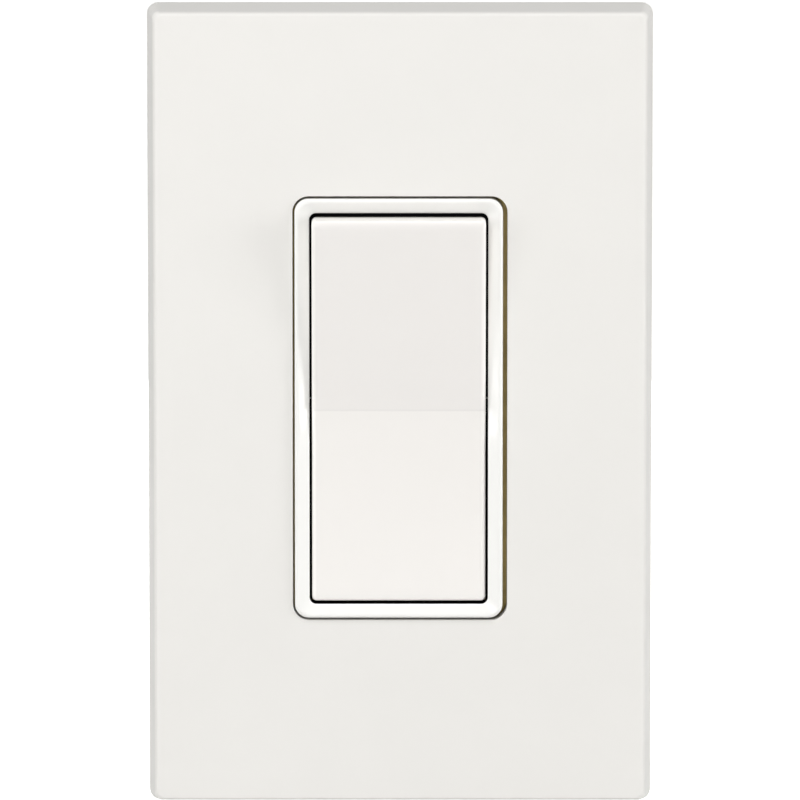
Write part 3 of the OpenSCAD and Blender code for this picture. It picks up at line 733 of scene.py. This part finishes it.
def build_spring():
    """The spring in the paddle's post, with closer end turns."""
    low, high, size = size_of("plunger_spring")
    slide = joints["plunger_slide"]
    along = Vector(slide["axis"]).normalized()
    side = Vector((1, 0, 0))
    other = along.cross(side)
    wire = 0.225 * MM
    mean = 1.65 * MM
    length = (size.y - 2 * (mean + wire) * abs(along.z)) / along.y
    begin = (low + high) / 2 - along * (length / 2)
    turns, steps, sides = 7, 28, 10
    bm = bmesh.new()
    rows = []
    for i in range(turns * steps + 1):
        t = i / (turns * steps)
        climb = t - 0.5 * math.sin(2 * math.pi * t) / (2 * math.pi)
        turn = 2 * math.pi * i / steps
        out = side * math.cos(turn) + other * math.sin(turn)
        at = begin + along * (wire * 1.1 + (length - 2.2 * wire) * climb) + out * mean
        around = [2 * math.pi * k / sides for k in range(sides)]
        rows.append([at + (out * math.cos(b) + along * math.sin(b)) * wire for b in around])
    tube(bm, rows)
    piece = finish_mesh("plunger_coil", bm, "rocker_paddle", "spring_steel", ["plunger_spring"])
    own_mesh(piece)
    return piece


# ---------------------------------------------------------------- mouldings of the housing

WIRE_HOLE_X = 10.9 * MM
WIRE_HOLE_Z = 22.0 * MM


def raised_outline(bm, at, size, wall, r, y0, y1):
    """A closed rim of the given wall thickness that stands on a flat back."""
    shape = []
    ease = 0.12 * MM
    for inset, y in ((0, y0), (0, y1 - ease), (ease, y1), (wall - ease, y1), (wall, y1 - ease), (wall, y0)):
        points = ring(size[0] - 2 * inset, size[1] - 2 * inset, r - inset * 0.6, [-1, 0, 1], [0, 0.5, 1], 8)
        shape.append([(x + at[0], y, z + at[1]) for x, z in points])
    loft(bm, shape, closed=True)


def build_mouldings():
    """Rim, wire hole collars, strip gauge and stiffening ribs moulded with the housing."""
    low, high, size = size_of("housing")
    back = high.y
    y0 = back - 0.1 * MM
    bm = bmesh.new()
    raised_outline(bm, (0, 0), (size.x - 2 * MM, size.z - 2 * MM), 0.9 * MM, 1.2 * MM, y0, back + 0.35 * MM)
    for sz in (-1, 1):
        hole = (WIRE_HOLE_X, sz * WIRE_HOLE_Z)
        raised_outline(bm, hole, (4.6 * MM, 4.6 * MM), 0.95 * MM, 2.3 * MM, y0, back + 0.5 * MM)
    raised_outline(bm, (WIRE_HOLE_X, 0), (2.8 * MM, 13 * MM), 0.5 * MM, 0.7 * MM, y0, back + 0.4 * MM)
    mark = (2.0 * MM, 0.5 * MM, 0.4 * MM)
    for step in (-1, 0, 1):
        rounded_box(bm, (WIRE_HOLE_X, back + 0.1 * MM, step * 3 * MM), mark, 0.08 * MM)
    for step in range(-2, 3):
        at = (low.x, (low.y + back) / 2, step * 12.5 * MM)
        rounded_box(bm, at, (1.0 * MM, size.y - 5 * MM, 1.3 * MM), 0.2 * MM)
    return finish_mesh("housing_mouldings", bm, "switch_body", "housing_white")


# ---------------------------------------------------------------- stage, lights, camera


def build_stage():
    """A plain pale floor that fades to white away from the switch and keeps its shadow."""
    mesh = bpy.data.meshes.new("floor")
    low = -0.165
    size = 12.0
    mesh.from_pydata(
        [(-size, -size, low), (size, -size, low), (size, size, low), (-size, size, low)], [], [(0, 1, 2, 3)]
    )
    floor = bpy.data.objects.new("floor", mesh)
    bpy.context.scene.collection.objects.link(floor)
    material = bpy.data.materials.new("floor")
    material.use_nodes = True
    tree = material.node_tree
    tree.nodes.clear()
    out = tree.nodes.new("ShaderNodeOutputMaterial")
    plain = tree.nodes.new("ShaderNodeBsdfDiffuse")
    plain.inputs["Color"].default_value = (0.82, 0.82, 0.81, 1)
    lift = tree.nodes.new("ShaderNodeEmission")
    lift.inputs["Color"].default_value = (1, 1, 0.985, 1)
    both = tree.nodes.new("ShaderNodeAddShader")
    paths = seen(tree)
    place = tree.nodes.new("ShaderNodeTexCoord")
    away = tree.nodes.new("ShaderNodeVectorMath")
    away.operation = "LENGTH"
    tree.links.new(place.outputs["Object"], away.inputs[0])
    fade = spread(tree, away.outputs["Value"], 0.45, 1.0)
    fade.inputs["From Min"].default_value = 0.25
    fade.inputs["From Max"].default_value = 0.6
    strength = tree.nodes.new("ShaderNodeMath")
    strength.operation = "MULTIPLY"
    tree.links.new(paths, strength.inputs[0])
    tree.links.new(fade.outputs["Result"], strength.inputs[1])
    tree.links.new(strength.outputs[0], lift.inputs["Strength"])
    tree.links.new(plain.outputs[0], both.inputs[0])
    tree.links.new(lift.outputs[0], both.inputs[1])
    tree.links.new(both.outputs[0], out.inputs["Surface"])
    mesh.materials.append(material)
    return floor


def seen(tree):
    """1 for rays that show the background: straight from the camera, or by reflection or through glass."""
    path = tree.nodes.new("ShaderNodeLightPath")
    first = tree.nodes.new("ShaderNodeMath")
    first.operation = "MAXIMUM"
    second = tree.nodes.new("ShaderNodeMath")
    second.operation = "MAXIMUM"
    tree.links.new(path.outputs["Is Camera Ray"], first.inputs[0])
    tree.links.new(path.outputs["Is Transmission Ray"], first.inputs[1])
    tree.links.new(first.outputs[0], second.inputs[0])
    tree.links.new(path.outputs["Is Glossy Ray"], second.inputs[1])
    return second.outputs[0]


WORLD_LIGHT = 0.12


def build_world():
    world = bpy.data.worlds.new("studio")
    bpy.context.scene.world = world
    world.use_nodes = True
    tree = world.node_tree
    back = tree.nodes["Background"]
    back.inputs["Color"].default_value = (1, 1, 0.99, 1)
    level = tree.nodes.new("ShaderNodeMix")
    level.data_type = "FLOAT"
    level.inputs["A"].default_value = WORLD_LIGHT
    level.inputs["B"].default_value = 1.0
    tree.links.new(seen(tree), level.inputs["Factor"])
    tree.links.new(level.outputs["Result"], back.inputs["Strength"])


def add_light(name, at, target, size, power):
    data = bpy.data.lights.new(name, "AREA")
    data.shape = "RECTANGLE"
    data.size = size[0]
    data.size_y = size[1]
    data.energy = power
    light = bpy.data.objects.new(name, data)
    light.location = at
    light.rotation_euler = (Vector(target) - Vector(at)).to_track_quat("-Z", "Y").to_euler()
    light.visible_camera = False
    bpy.context.scene.collection.objects.link(light)


def build_lights():
    """Softboxes right, left and overhead, a key from the front left, and one behind for the mechanism."""
    middle = (0, 0, 0)
    add_light("right", (1.28, -0.34, 0.1), middle, (0.3, 0.6), 7.8)
    add_light("left", (-1.2, -0.56, 0.15), middle, (0.3, 0.6), 4.0)
    add_light("top", (0, -0.56, 1.2), middle, (0.6, 0.25), 8.6)
    add_light("key", (-0.48, -1.24, 0.32), middle, (0.4, 0.4), 4.8)
    add_light("back", (0, 1.3, 0.05), middle, (0.4, 0.3), 8.0)


def build_camera():
    elevation = math.radians(7.5)
    distance = 1.33
    low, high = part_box("cover_plate")
    aim = Vector(((low.x + high.x) / 2, 0.0, 0.48 * MM))
    data = bpy.data.cameras.new("camera")
    data.sensor_width = 36.0
    data.lens = 379.0
    data.clip_start = 0.05
    data.clip_end = 50.0
    camera = bpy.data.objects.new("camera", data)
    back = Vector((0.0, -math.cos(elevation), math.sin(elevation)))
    camera.location = aim + back * distance
    camera.rotation_euler = (-back).to_track_quat("-Z", "Y").to_euler()
    bpy.context.scene.collection.objects.link(camera)
    bpy.context.scene.camera = camera


build_cover()
build_frame()
build_paddle()
dress_all()
build_threads()
build_spring()
build_mouldings()
build_stage()
build_world()
build_lights()
build_camera()
bpy.context.scene.view_settings.view_transform = "Standard"
